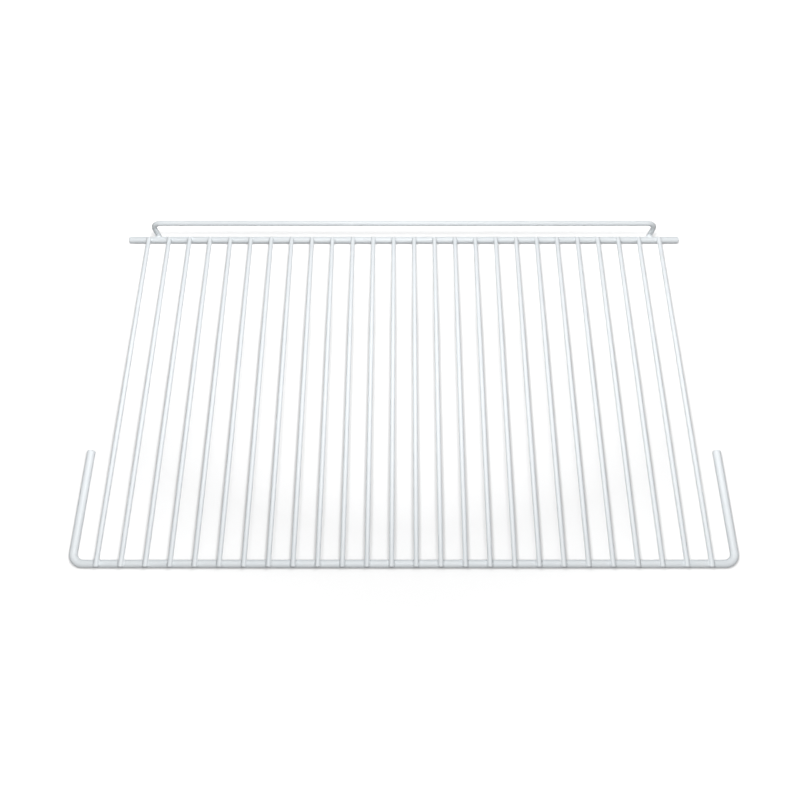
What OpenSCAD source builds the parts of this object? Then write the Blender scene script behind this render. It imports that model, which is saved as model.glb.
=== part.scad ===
// Refrigerator wire shelf: straight wires welded across two heavier rods.
// X runs across the shelf, the front faces -Y, and Z = 0 is the plane that the rods rest on.
// Every diameter is the finished one, over the white coating.

/* [Grid of wires] */
// Number of straight wires between the two rods
wire_count = 26; // [8:1:40]
// Distance from one wire's centre to the next
wire_pitch = 17; // [12:0.5:24]
// Diameter of a wire
wire_d = 3.4; // [2.4:0.1:4.4]
// How far the wires reach in front of the front rod's centre line
wire_front_reach = 2.8; // [1:0.1:8]
// How far the wires reach behind the rear rod's centre line
wire_rear_reach = 0.2; // [0:0.1:8]

/* [Rods] */
// Diameter of the front and rear rods
rod_d = 5.7; // [4.4:0.1:7]
// Distance between the centre lines of the front and rear rods
rod_spacing = 266.5; // [180:0.5:400]
// How far the rear rod runs past the side of the outermost wire
rear_rod_end = 15.5; // [2:0.5:40]

/* [Side arms of the front rod] */
// Clear gap between the outermost wire and an arm
arm_gap = 13.9; // [7:0.1:30]
// Length of an arm, from the front rod's centre line to its tip
arm_length = 82; // [30:1:160]
// Radius of the front corners, at the centre of the rod
corner_r = 7.6; // [4:0.1:12]

/* [Rear stop wire] */
// Diameter of the stop wire
stop_d = 4.2; // [3:0.1:5.6]
// Height of the stop wire's centre above the rear rod's centre
stop_rise = 17.5; // [12:0.5:60]
// Radius of the bends into its legs, at the centre of the wire
stop_bend_r = 7.5; // [3.5:0.5:8]
// Distance from the outermost wire's centre in to a leg's centre
leg_inset = 6.5; // [5:0.5:12]
// How far the legs reach below the rear rod's centre
leg_tail = 1.9; // [0:0.1:2.4]

/* [Welds and coating] */
// Depth to which a wire is pressed into a rod by its weld
wire_weld = 1; // [0.2:0.1:1.4]
// Depth to which a leg of the stop wire is pressed into the rear rod
leg_weld = 0.8; // [0.2:0.1:1.4]
// Radius of the coating on a cut end of a rod or of the stop wire
rod_end_r = 0.8; // [0.2:0.1:1.4]
// Radius of the coating on a cut end of a wire
wire_end_r = 1.1; // [0.2:0.1:1.1]

/* [Hidden] */
rod_r = rod_d / 2;
wire_r = wire_d / 2;
stop_r = stop_d / 2;

// Across the shelf: the wires set the places of the arms, the rod's ends and the stop's legs
outer_wire_x = (wire_count - 1) * wire_pitch / 2;
arm_x = outer_wire_x + wire_r + arm_gap + rod_r;
rear_rod_length = 2 * (outer_wire_x + wire_r + rear_rod_end);
leg_x = outer_wire_x - leg_inset;

// Front to back: the shelf is centred on the ends of the wires and the back of the stop
leg_back = rod_r + stop_r - leg_weld;
front_reach = max(wire_front_reach, rod_r);
rear_reach = max(wire_rear_reach, leg_back + stop_r);
front_rod_y = (front_reach - rod_spacing - rear_reach) / 2;
rear_rod_y = front_rod_y + rod_spacing;
wire_length = wire_front_reach + rod_spacing + wire_rear_reach;

// Heights above the resting plane
rod_z = rod_r;
wire_z = rod_d + wire_r - wire_weld;

// Straight lengths of the two bent pieces, between their bends
arm_run = arm_length - corner_r;
front_run = 2 * (arm_x - corner_r);
leg_run = leg_tail + stop_rise - stop_bend_r;
stop_run = 2 * (leg_x - stop_bend_r);

coat_white = [0.93, 0.95, 0.96];
facets = 48;

function two_digits(i) = str(i < 10 ? "0" : "", i);
function wire_name(i) = str("fill_wire_", two_digits(i));

// A straight length of wire along +Z
module run(d, length) {
    cylinder(d = d, h = length, $fn = facets);
}

// The last bit of a wire along +Z, with its sharp rim rounded by the coating
module tip(d, round_r) {
    rotate_extrude($fn = facets) {
        square([d / 2 - round_r, round_r]);
        intersection() {
            translate([d / 2 - round_r, 0]) circle(r = round_r, $fn = facets);
            square([d / 2, round_r]);
        }
    }
}

// A straight length along +Z whose two ends are rounded
module cut_wire(d, length, round_r) {
    translate([0, 0, round_r]) mirror([0, 0, 1]) tip(d, round_r);
    translate([0, 0, round_r]) run(d, length - 2 * round_r);
    translate([0, 0, length - round_r]) tip(d, round_r);
}

// A quarter bend that leaves along +Z and turns towards +X
module bend(d, bend_r) {
    translate([bend_r, 0, 0])
        rotate([90, 0, 0])
            rotate([0, 0, 90])
                rotate_extrude(angle = 90, $fn = 2 * facets)
                    translate([bend_r, 0])
                        circle(d = d, $fn = facets);
}

// Carries what follows a bend to the end of that bend
module after_bend(bend_r) {
    translate([bend_r, 0, bend_r])
        rotate([0, 90, 0])
            children();
}

// A wire bent square at two places: a side, a bend, the middle, a bend and the other side
module bracket(d, side, bend_r, middle, round_r) {
    translate([0, 0, round_r]) mirror([0, 0, 1]) tip(d, round_r);
    translate([0, 0, round_r]) run(d, side - round_r);
    translate([0, 0, side]) {
        bend(d, bend_r);
        after_bend(bend_r) {
            run(d, middle);
            translate([0, 0, middle]) {
                bend(d, bend_r);
                after_bend(bend_r) {
                    run(d, side - round_r);
                    translate([0, 0, side - round_r]) tip(d, round_r);
                }
            }
        }
    }
}

// The space of a straight rod, across the shelf at a given place from front to back
module rod_across(y, length) {
    translate([-length / 2, y, rod_z])
        rotate([0, 90, 0])
            run(rod_d, length);
}

// Front rod: one length of heavy wire, bent back at both front corners into open side arms
module front_rod() {
    color(coat_white)
        translate([-arm_x, front_rod_y + arm_length, rod_z])
            rotate([90, 0, 0])
                bracket(rod_d, arm_run, corner_r, front_run, rod_end_r);
}

// Rear rod: straight, with both ends standing out past the wires to sit in the cabinet's slots
module rear_rod() {
    color(coat_white)
        translate([-rear_rod_length / 2, rear_rod_y, rod_z])
            rotate([0, 90, 0])
                cut_wire(rod_d, rear_rod_length, rod_end_r);
}

// Rear stop wire: keeps food off the back wall. Its legs are welded to the back of the rear rod
module rear_stop_wire() {
    color(coat_white)
        difference() {
            translate([-leg_x, rear_rod_y + leg_back, rod_z - leg_tail])
                bracket(stop_d, leg_run, stop_bend_r, stop_run, rod_end_r);
            rod_across(rear_rod_y, rear_rod_length);
        }
}

// One straight wire of the grid, laid over both rods and seated in them by its welds
module fill_wire(i) {
    color(coat_white)
        difference() {
            translate([
                (i - 1) * wire_pitch - outer_wire_x,
                front_rod_y - wire_front_reach,
                wire_z
            ])
                rotate([-90, 0, 0])
                    cut_wire(wire_d, wire_length, wire_end_r);
            rod_across(front_rod_y, front_run);
            rod_across(rear_rod_y, rear_rod_length);
        }
}

front_rod();
rear_rod();
rear_stop_wire();
for (i = [1:wire_count])
    fill_wire(i);
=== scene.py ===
# %% [markdown]
# # A white wire shelf for a refrigerator
#
# The shelf is made of round steel wire. Thin wires run from front to back and lie over two heavier
# rods. The front rod is bent back at both corners into short open arms, and a stop wire stands behind
# the rear rod. Everything is welded first and coated in white powder afterwards.
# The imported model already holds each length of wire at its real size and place, so this lesson never
# moves or resizes it. What it adds is the look: how the coating fills the corners of each weld, how the
# coating shines, and the light of a plain studio table.

import math

import bpy
import numpy as np
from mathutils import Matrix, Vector


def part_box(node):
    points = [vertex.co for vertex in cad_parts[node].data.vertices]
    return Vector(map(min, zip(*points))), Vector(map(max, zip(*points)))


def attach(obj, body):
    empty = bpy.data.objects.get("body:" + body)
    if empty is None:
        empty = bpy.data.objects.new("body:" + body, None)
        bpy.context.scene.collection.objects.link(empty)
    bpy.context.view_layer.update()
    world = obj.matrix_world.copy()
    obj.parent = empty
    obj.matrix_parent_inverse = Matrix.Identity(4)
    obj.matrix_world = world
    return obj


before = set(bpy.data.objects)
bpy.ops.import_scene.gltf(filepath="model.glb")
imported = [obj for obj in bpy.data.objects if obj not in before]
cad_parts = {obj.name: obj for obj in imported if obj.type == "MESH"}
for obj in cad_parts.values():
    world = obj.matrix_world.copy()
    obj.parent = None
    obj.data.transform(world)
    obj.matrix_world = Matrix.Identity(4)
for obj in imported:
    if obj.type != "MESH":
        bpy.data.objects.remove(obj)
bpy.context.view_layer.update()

# %% [markdown]
# ## Reading the sizes of the wires
#
# A lesson that repeats numbers goes wrong when somebody changes one of them. Each length of wire is its
# own piece here, so its box tells everything that is needed: half of its thinnest side is its radius,
# and the middle of that side is where its centre line runs.

# %% Measure the wires
MM = 0.001
FILL_WIRES = sorted(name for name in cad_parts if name.startswith("fill_wire_"))


def middle(low, high):
    """The value half way between two others."""
    return (low + high) / 2


rear_low, rear_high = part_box("rear_rod")
front_low, front_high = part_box("front_rod")
stop_low, stop_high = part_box("rear_stop_wire")
wire_low, wire_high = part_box(FILL_WIRES[0])

ROD_R = (rear_high.z - rear_low.z) / 2
WIRE_R = (wire_high.x - wire_low.x) / 2
STOP_R = (stop_high.y - stop_low.y) / 2
ROD_Z = middle(rear_low.z, rear_high.z)
WIRE_Z = wire_high.z - WIRE_R
FRONT_Y = front_low.y + ROD_R
REAR_Y = middle(rear_low.y, rear_high.y)
LEG_X = stop_high.x - STOP_R
LEG_Y = middle(stop_low.y, stop_high.y)
print(f"rods {2000 * ROD_R:.1f} mm, wires {2000 * WIRE_R:.1f} mm, stop wire {2000 * STOP_R:.1f} mm")
print(f"{1000 * (REAR_Y - FRONT_Y):.1f} mm between the rods, {len(FILL_WIRES)} wires over them")

# %% [markdown]
# ## The camera
#
# The photograph was taken from just in front of the shelf, looking steeply down. All the wires are
# parallel, so they point at one vanishing point far above the picture, and its height gives the tilt of
# the camera together with its focal length. The size of the shelf in the picture then gives the height
# of the camera above the wires. The shelf stands a hair to the right of the middle, which is a small
# shift of the frame and not a turn of the camera, because its left and right halves look alike.
# Lengths are in metres.

# %% Set the camera
PICTURE = 800
SENSOR = 36.0
VIEW_PITCH = math.radians(68.5)
FOCAL_PIXELS = 680.1
CAMERA_ABOVE_WIRES = 0.478
CAMERA_BEFORE_FRONT_ROD = 0.0673
MIDDLE_COLUMN = 403.93
NEAREST_SEEN = 0.01


def make_camera():
    """A camera that looks down by VIEW_PITCH, with lens = sensor width * focal pixels / picture width."""
    data = bpy.data.cameras.new("camera")
    data.sensor_width = SENSOR
    data.lens = SENSOR * FOCAL_PIXELS / PICTURE
    data.shift_x = (PICTURE / 2 - MIDDLE_COLUMN) / PICTURE
    data.clip_start = NEAREST_SEEN
    camera = bpy.data.objects.new("camera", data)
    camera.location = (0.0, FRONT_Y - CAMERA_BEFORE_FRONT_ROD, WIRE_Z + CAMERA_ABOVE_WIRES)
    camera.rotation_euler = (math.pi / 2 - VIEW_PITCH, 0.0, 0.0)
    bpy.context.scene.collection.objects.link(camera)
    bpy.context.scene.camera = camera
    return camera


camera = make_camera()
print(f"lens {camera.data.lens:.1f} mm, {1000 * camera.location.z:.0f} mm above the table")

# %% [markdown]
# ## Colours and shader nodes
#
# A colour picked on a screen is an sRGB value, while a shader works in linear light. One function turns
# a hex code into the linear colour that a socket wants. A second one adds a shader node, gives it its
# settings and links its inputs, so that a material reads like a list of its layers.

# %% Helpers for materials
def linear(hex_code):
    """Linear colour of an sRGB hex code: c / 12.92 up to 0.04045, ((c + 0.055) / 1.055) ^ 2.4 above."""
    value = np.array([int(hex_code[i:i + 2], 16) for i in (1, 3, 5)]) / 255
    value = np.where(value <= 0.04045, value / 12.92, ((value + 0.055) / 1.055) ** 2.4)
    return (*value.tolist(), 1.0)


def add_node(tree, kind, settings=None, sockets=None, links=None):
    """Adds a node of that kind, sets its own settings and its sockets' values, and links its inputs."""
    node = tree.nodes.new(kind)
    for name, value in (settings or {}).items():
        setattr(node, name, value)
    for name, value in (sockets or {}).items():
        node.inputs[name].default_value = value
    for name, output in (links or {}).items():
        tree.links.new(output, node.inputs[name])
    return node


def new_material(name):
    """An empty node material with its output, ready for its layers."""
    material = bpy.data.materials.new(name)
    material.use_nodes = True
    material.node_tree.nodes.clear()
    return material, material.node_tree


# %% [markdown]
# ## The white coating
#
# The steel is sprayed with a dry powder of polyester and epoxy that melts in an oven into a skin of
# about a tenth of a millimetre. Melted powder never levels out fully: it keeps the low, close ripple
# that painters call orange peel, so a highlight along a wire breaks up a little. The skin is also
# a touch thinner in some places than in others, and a cooler, greyer white shows there.
# Both are noise on Object coordinates, because the pattern then has its real size on every wire.
# Powder coat has the index of refraction of most resins, about 1.5, and a satin finish.

# %% Make the coating
PEEL_WAVE = 1.1 * MM
PEEL_HEIGHT = 0.012 * MM
SKIN_WAVE = 14 * MM
THIN_WHITE = "#EDF3F7"
FULL_WHITE = "#F6FAFC"
ROUGHNESS = (0.46, 0.60)
RESIN_IOR = 1.5


def powder_coat():
    """Satin white powder coat: two whites mixed by slow noise, over a bump of fast noise."""
    material, tree = new_material("white powder coat")
    place = add_node(tree, "ShaderNodeTexCoord").outputs["Object"]
    skin = add_node(
        tree, "ShaderNodeTexNoise", {}, {"Scale": 1 / SKIN_WAVE, "Detail": 3.0, "Roughness": 0.6},
        {"Vector": place})
    tone = add_node(
        tree, "ShaderNodeMix", {"data_type": "RGBA"}, {"A": linear(THIN_WHITE), "B": linear(FULL_WHITE)},
        {"Factor": skin.outputs["Fac"]})
    gloss = add_node(
        tree, "ShaderNodeMapRange", {}, {"To Min": ROUGHNESS[0], "To Max": ROUGHNESS[1]},
        {"Value": skin.outputs["Fac"]})
    peel = add_node(
        tree, "ShaderNodeTexNoise", {}, {"Scale": 1 / PEEL_WAVE, "Detail": 2.0}, {"Vector": place})
    bump = add_node(
        tree, "ShaderNodeBump", {}, {"Strength": 1.0, "Distance": PEEL_HEIGHT},
        {"Height": peel.outputs["Fac"]})
    surface = add_node(
        tree, "ShaderNodeBsdfPrincipled", {}, {"IOR": RESIN_IOR},
        {"Base Color": tone.outputs["Result"], "Roughness": gloss.outputs["Result"],
         "Normal": bump.outputs["Normal"]})
    add_node(tree, "ShaderNodeOutputMaterial", {}, {}, {"Surface": surface.outputs["BSDF"]})
    return material


COATING = powder_coat()
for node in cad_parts.values():
    node.data.materials.clear()
    node.data.materials.append(COATING)
print("coated", len(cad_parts), "lengths of wire")

# %% [markdown]
# ## Coating in the corners of the welds
#
# Where two wires cross, melted coating runs into the narrow corner between them and stays there as
# a smooth fillet. That is what makes a coated grid look soft at its crossings, and bare crossed
# cylinders look like a drawing.
# A sculpted blob would be guesswork. The fillet of two crossed cylinders has an exact shape: roll
# a small ball along the corner so that it touches both, and keep the part of the ball between the two
# points of touch. The ball's centre lies where two thicker cylinders meet, so its path has a formula.
# A wire that is cut off near the rod leaves no corner past its end. The ball shrinks as it nears that
# end, and what is left of the ring runs on just under the skin of the rod, where nobody sees it.

# %% Work out one fillet
AROUND = 64
ACROSS = 7
FILLET_R = 0.8 * MM
END_TAPER = 1.5 * MM
END_MARGIN = 0.2 * MM
THINNEST = 0.06
TUCK = 0.05


def fillet(rod_r, wire_r, apart, ball_r, reach_back=math.inf, reach_on=math.inf):
    """Points (AROUND, ACROSS + 1, 3) of a rolling-ball fillet. The rod lies along X through the origin and
    the wire along Y, above it by apart, from y = -reach_back to y = reach_on. With t running once round
    the corner and R = rod_r + ball_r, r = wire_r + ball_r, the ball's centre is
    x = r sin b, z = apart - r cos b, y = +-sqrt(R^2 - z^2), with b = b_most sin t.
    Between its two points of touch, the fillet is an arc of the ball. The last column is the hidden
    corner where the cylinders themselves meet, which closes the fillet to a ring.
    Near an end of the wire, ball_r is multiplied by (distance to the end - margin) / taper."""
    t = np.linspace(0, 2 * np.pi, AROUND, endpoint=False)
    side = np.where(np.cos(t) >= 0, 1.0, -1.0)

    def corner(big, small):
        most = np.arccos(np.clip((apart - big) / small, -1, 1))
        b = most * np.sin(t)
        x, z = small * np.sin(b), apart - small * np.cos(b)
        return np.stack([x, side * np.sqrt(np.maximum(big ** 2 - z ** 2, 0)), z], axis=1)

    crease = corner(rod_r, wire_r)
    to_end = np.minimum(crease[:, 1] + reach_back, reach_on - crease[:, 1])
    full = np.clip((to_end - END_MARGIN) / END_TAPER, THINNEST, 1)
    ball = ball_r * full
    centre = corner(rod_r + ball, wire_r + ball)
    to_rod = -centre * [0, 1, 1] / (rod_r + ball)[:, None]
    to_wire = ([0, 0, apart] - centre) * [1, 0, 1] / (wire_r + ball)[:, None]
    angle = np.arccos(np.sum(to_rod * to_wire, axis=1))[:, None, None]
    share = np.linspace(0, 1, ACROSS)[None, :, None]
    arc = np.sin((1 - share) * angle) * to_rod[:, None] + np.sin(share * angle) * to_wire[:, None]
    skin = centre[:, None] + ball[:, None, None] * arc / np.sin(angle)
    ring = np.concatenate([skin, crease[:, None]], axis=1)
    tuck = 1 - TUCK * (1 - full[:, None, None]) ** 2
    return ring * np.where([False, True, True], tuck, 1)


one = fillet(ROD_R, WIRE_R, WIRE_Z - ROD_Z, FILLET_R)
print("one fillet measures", np.round(np.ptp(one.reshape(-1, 3), axis=0) / MM, 1), "mm")

# %% [markdown]
# ## Laying the fillets
#
# Every crossing gets its own ring. No two are quite the same on a real shelf, since the powder gathers
# by chance, so each ball's radius differs a little, from a seeded generator that gives the same shelf
# every time. The rings of one rod are one mesh.
# The legs of the stop wire are welded to the back of the rear rod. That is the same corner turned on its
# side, so their rings swap Y and Z, and more coating gathers there because the leg is thicker.

# %% Build the rings as meshes
LEG_FILLET_R = 1.3 * MM
FILLET_SPREAD = 0.12
SEED = 7
random = np.random.default_rng(SEED)


def volume(points, faces):
    """Volume inside closed faces: a sum of a . (b x c) / 6 over triangles, above 0 if they face outwards."""
    a, b, c, d = (points[faces[:, k]] for k in range(4))
    return (np.sum(a * np.cross(b, c)) + np.sum(a * np.cross(c, d))) / 6


def rings_mesh(name, rings):
    """One mesh of closed rings. A ring is a grid that wraps both ways, so face (i, j) joins corners
    (i, j), (i + 1, j), (i + 1, j + 1), (i, j + 1), counted modulo the grid's two sizes."""
    rings = np.array(rings)
    count, around, across, _ = rings.shape
    i, j = np.meshgrid(np.arange(around), np.arange(across), indexing="ij")
    i2, j2 = (i + 1) % around, (j + 1) % across
    quads = np.stack([i * across + j, i2 * across + j, i2 * across + j2, i * across + j2], axis=-1)
    starts = np.arange(count)[:, None, None] * around * across
    faces = (quads.reshape(1, -1, 4) + starts).reshape(-1, 4)
    points = rings.reshape(-1, 3)
    if volume(points, faces) < 0:
        faces = faces[:, ::-1]
    mesh = bpy.data.meshes.new(name)
    mesh.from_pydata(points.tolist(), [], faces.tolist())
    mesh.materials.append(COATING)
    mesh.shade_smooth()
    piece = bpy.data.objects.new(name, mesh)
    bpy.context.scene.collection.objects.link(piece)
    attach(piece, "root")
    print(name, "has", count, "rings and", len(faces), "faces")
    return piece


def chance(radius):
    """The radius, up to FILLET_SPREAD of it more or less."""
    return radius * (1 + FILLET_SPREAD * random.uniform(-1, 1))


def rod_fillets(name, rod_y):
    """The fillets of all the wires that cross the rod at rod_y."""
    rings = []
    for wire in FILL_WIRES:
        low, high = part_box(wire)
        place = np.array([middle(low.x, high.x), rod_y, ROD_Z])
        rings.append(place + fillet(
            ROD_R, WIRE_R, WIRE_Z - ROD_Z, chance(FILLET_R), rod_y - low.y, high.y - rod_y))
    return rings_mesh(name, rings)


def leg_fillets(name):
    """The fillets of the two legs at the back of the rear rod, whose lower ends stop beside it."""
    rings = []
    for x in (-LEG_X, LEG_X):
        ring = fillet(ROD_R, STOP_R, LEG_Y - REAR_Y, chance(LEG_FILLET_R), ROD_Z - stop_low.z)
        rings.append(ring[..., [0, 2, 1]] + [x, REAR_Y, ROD_Z])
    return rings_mesh(name, rings)


rod_fillets("coating_fillets_front_rod", FRONT_Y)
rod_fillets("coating_fillets_rear_rod", REAR_Y)
leg_fillets("coating_fillets_stop_legs")

# %% [markdown]
# ## Light and table
#
# In the photograph every wire is dark on its outer side and bright on its inner one, in both halves of
# the shelf. One lamp can't do that. Two soft lamps with grids can: each stands a little past the middle
# and lights only the half beyond, so the two beams cross and meet over the middle wires.
# About a quarter of the light comes evenly from the room, which keeps the dark sides open.
# The table that lights the shelf from below is a dark grey, or the undersides of the wires would be as
# bright as their tops. The table that the camera and the reflections see is white, with real shadows.
# It also glows a little for them, more so where the beams end, and that keeps the background white to
# its corners without any more light on the shelf. The room is dim where it lights something and white
# where it is seen, for the same reason.

# %% Light the studio
LAMP_SIDE = 0.12
LAMP_BACK = -0.04
LAMP_HEIGHT = 0.65
LAMP_AIM = Vector((0.33, 0.04, 0.0))
LAMP_SIZE = 0.20
LAMP_SPREAD = math.radians(70)
LAMP_POWER = 0.70
ROOM_LIGHT = 0.28
ROOM_SEEN = 1.0
TABLE_HALF = 3.0
TABLE_FROM_BELOW = 0.20
TABLE_SEEN = 0.88
TABLE_GLOW = 0.19
TABLE_GLOW_FAR = 0.82
BEAMS_SHAPE = (0.4, 1.0, 0.0)
BEAMS_SHIFT = (0.0, 0.03, 0.0)
BEAMS_END = (0.08, 0.26)


def seen_directly(tree):
    """1 on rays from the camera and on mirrored and refracted ones, 0 on rays that light something."""
    path = add_node(tree, "ShaderNodeLightPath")
    both = add_node(
        tree, "ShaderNodeMath", {"operation": "MAXIMUM"}, {},
        {0: path.outputs["Is Camera Ray"], 1: path.outputs["Is Glossy Ray"]})
    return add_node(
        tree, "ShaderNodeMath", {"operation": "MAXIMUM"}, {},
        {0: both.outputs[0], 1: path.outputs["Is Transmission Ray"]}).outputs[0]


def make_lamp(side):
    """A square softbox at X = side * LAMP_SIDE that faces the other half of the shelf."""
    data = bpy.data.lights.new("softbox", "AREA")
    data.shape = "SQUARE"
    data.size = LAMP_SIZE
    data.spread = LAMP_SPREAD
    data.energy = LAMP_POWER
    lamp = bpy.data.objects.new("softbox", data)
    lamp.location = (side * LAMP_SIDE, LAMP_BACK, LAMP_HEIGHT)
    aim = Vector((-side * LAMP_AIM.x, LAMP_AIM.y, LAMP_AIM.z))
    lamp.rotation_euler = (aim - lamp.location).to_track_quat("-Z", "Y").to_euler()
    bpy.context.scene.collection.objects.link(lamp)


def make_world():
    """A room that lights evenly at ROOM_LIGHT, and looks white where a view or a reflection meets it."""
    world = bpy.data.worlds.new("room")
    world.use_nodes = True
    tree = world.node_tree
    tree.nodes.clear()
    level = add_node(
        tree, "ShaderNodeMapRange", {}, {"To Min": ROOM_LIGHT, "To Max": ROOM_SEEN},
        {"Value": seen_directly(tree)})
    light = add_node(
        tree, "ShaderNodeBackground", {}, {"Color": (1, 1, 1, 1)}, {"Strength": level.outputs["Result"]})
    add_node(tree, "ShaderNodeOutputWorld", {}, {}, {"Surface": light.outputs["Background"]})
    bpy.context.scene.world = world


def make_table():
    """A wide plane under the shelf, which is stage and not a part of it. Its glow grows from TABLE_GLOW to
    TABLE_GLOW_FAR while |place * BEAMS_SHAPE + BEAMS_SHIFT| grows from BEAMS_END[0] to BEAMS_END[1]."""
    mesh = bpy.data.meshes.new("table")
    corners = [(x * TABLE_HALF, y * TABLE_HALF, 0) for x, y in ((-1, -1), (1, -1), (1, 1), (-1, 1))]
    mesh.from_pydata(corners, [], [(0, 1, 2, 3)])
    material, tree = new_material("white table")
    seen = seen_directly(tree)
    white = add_node(
        tree, "ShaderNodeMapRange", {}, {"To Min": TABLE_FROM_BELOW, "To Max": TABLE_SEEN}, {"Value": seen})
    paint = add_node(tree, "ShaderNodeBsdfDiffuse", {}, {}, {"Color": white.outputs["Result"]})
    place = add_node(tree, "ShaderNodeTexCoord").outputs["Object"]
    along = add_node(
        tree, "ShaderNodeVectorMath", {"operation": "MULTIPLY_ADD"}, {1: BEAMS_SHAPE, 2: BEAMS_SHIFT},
        {0: place})
    away = add_node(tree, "ShaderNodeVectorMath", {"operation": "LENGTH"}, {}, {0: along.outputs["Vector"]})
    lift = add_node(
        tree, "ShaderNodeMapRange", {},
        {"From Min": BEAMS_END[0], "From Max": BEAMS_END[1], "To Min": TABLE_GLOW, "To Max": TABLE_GLOW_FAR},
        {"Value": away.outputs["Value"]})
    power = add_node(
        tree, "ShaderNodeMath", {"operation": "MULTIPLY"}, {}, {0: lift.outputs["Result"], 1: seen})
    glow = add_node(tree, "ShaderNodeEmission", {}, {"Color": (1, 1, 1, 1)}, {"Strength": power.outputs[0]})
    both = add_node(tree, "ShaderNodeAddShader", {}, {}, {0: paint.outputs[0], 1: glow.outputs[0]})
    add_node(tree, "ShaderNodeOutputMaterial", {}, {}, {"Surface": both.outputs[0]})
    mesh.materials.append(material)
    table = bpy.data.objects.new("table", mesh)
    bpy.context.scene.collection.objects.link(table)


make_lamp(-1)
make_lamp(1)
make_world()
make_table()
bpy.context.scene.view_settings.view_transform = "Standard"
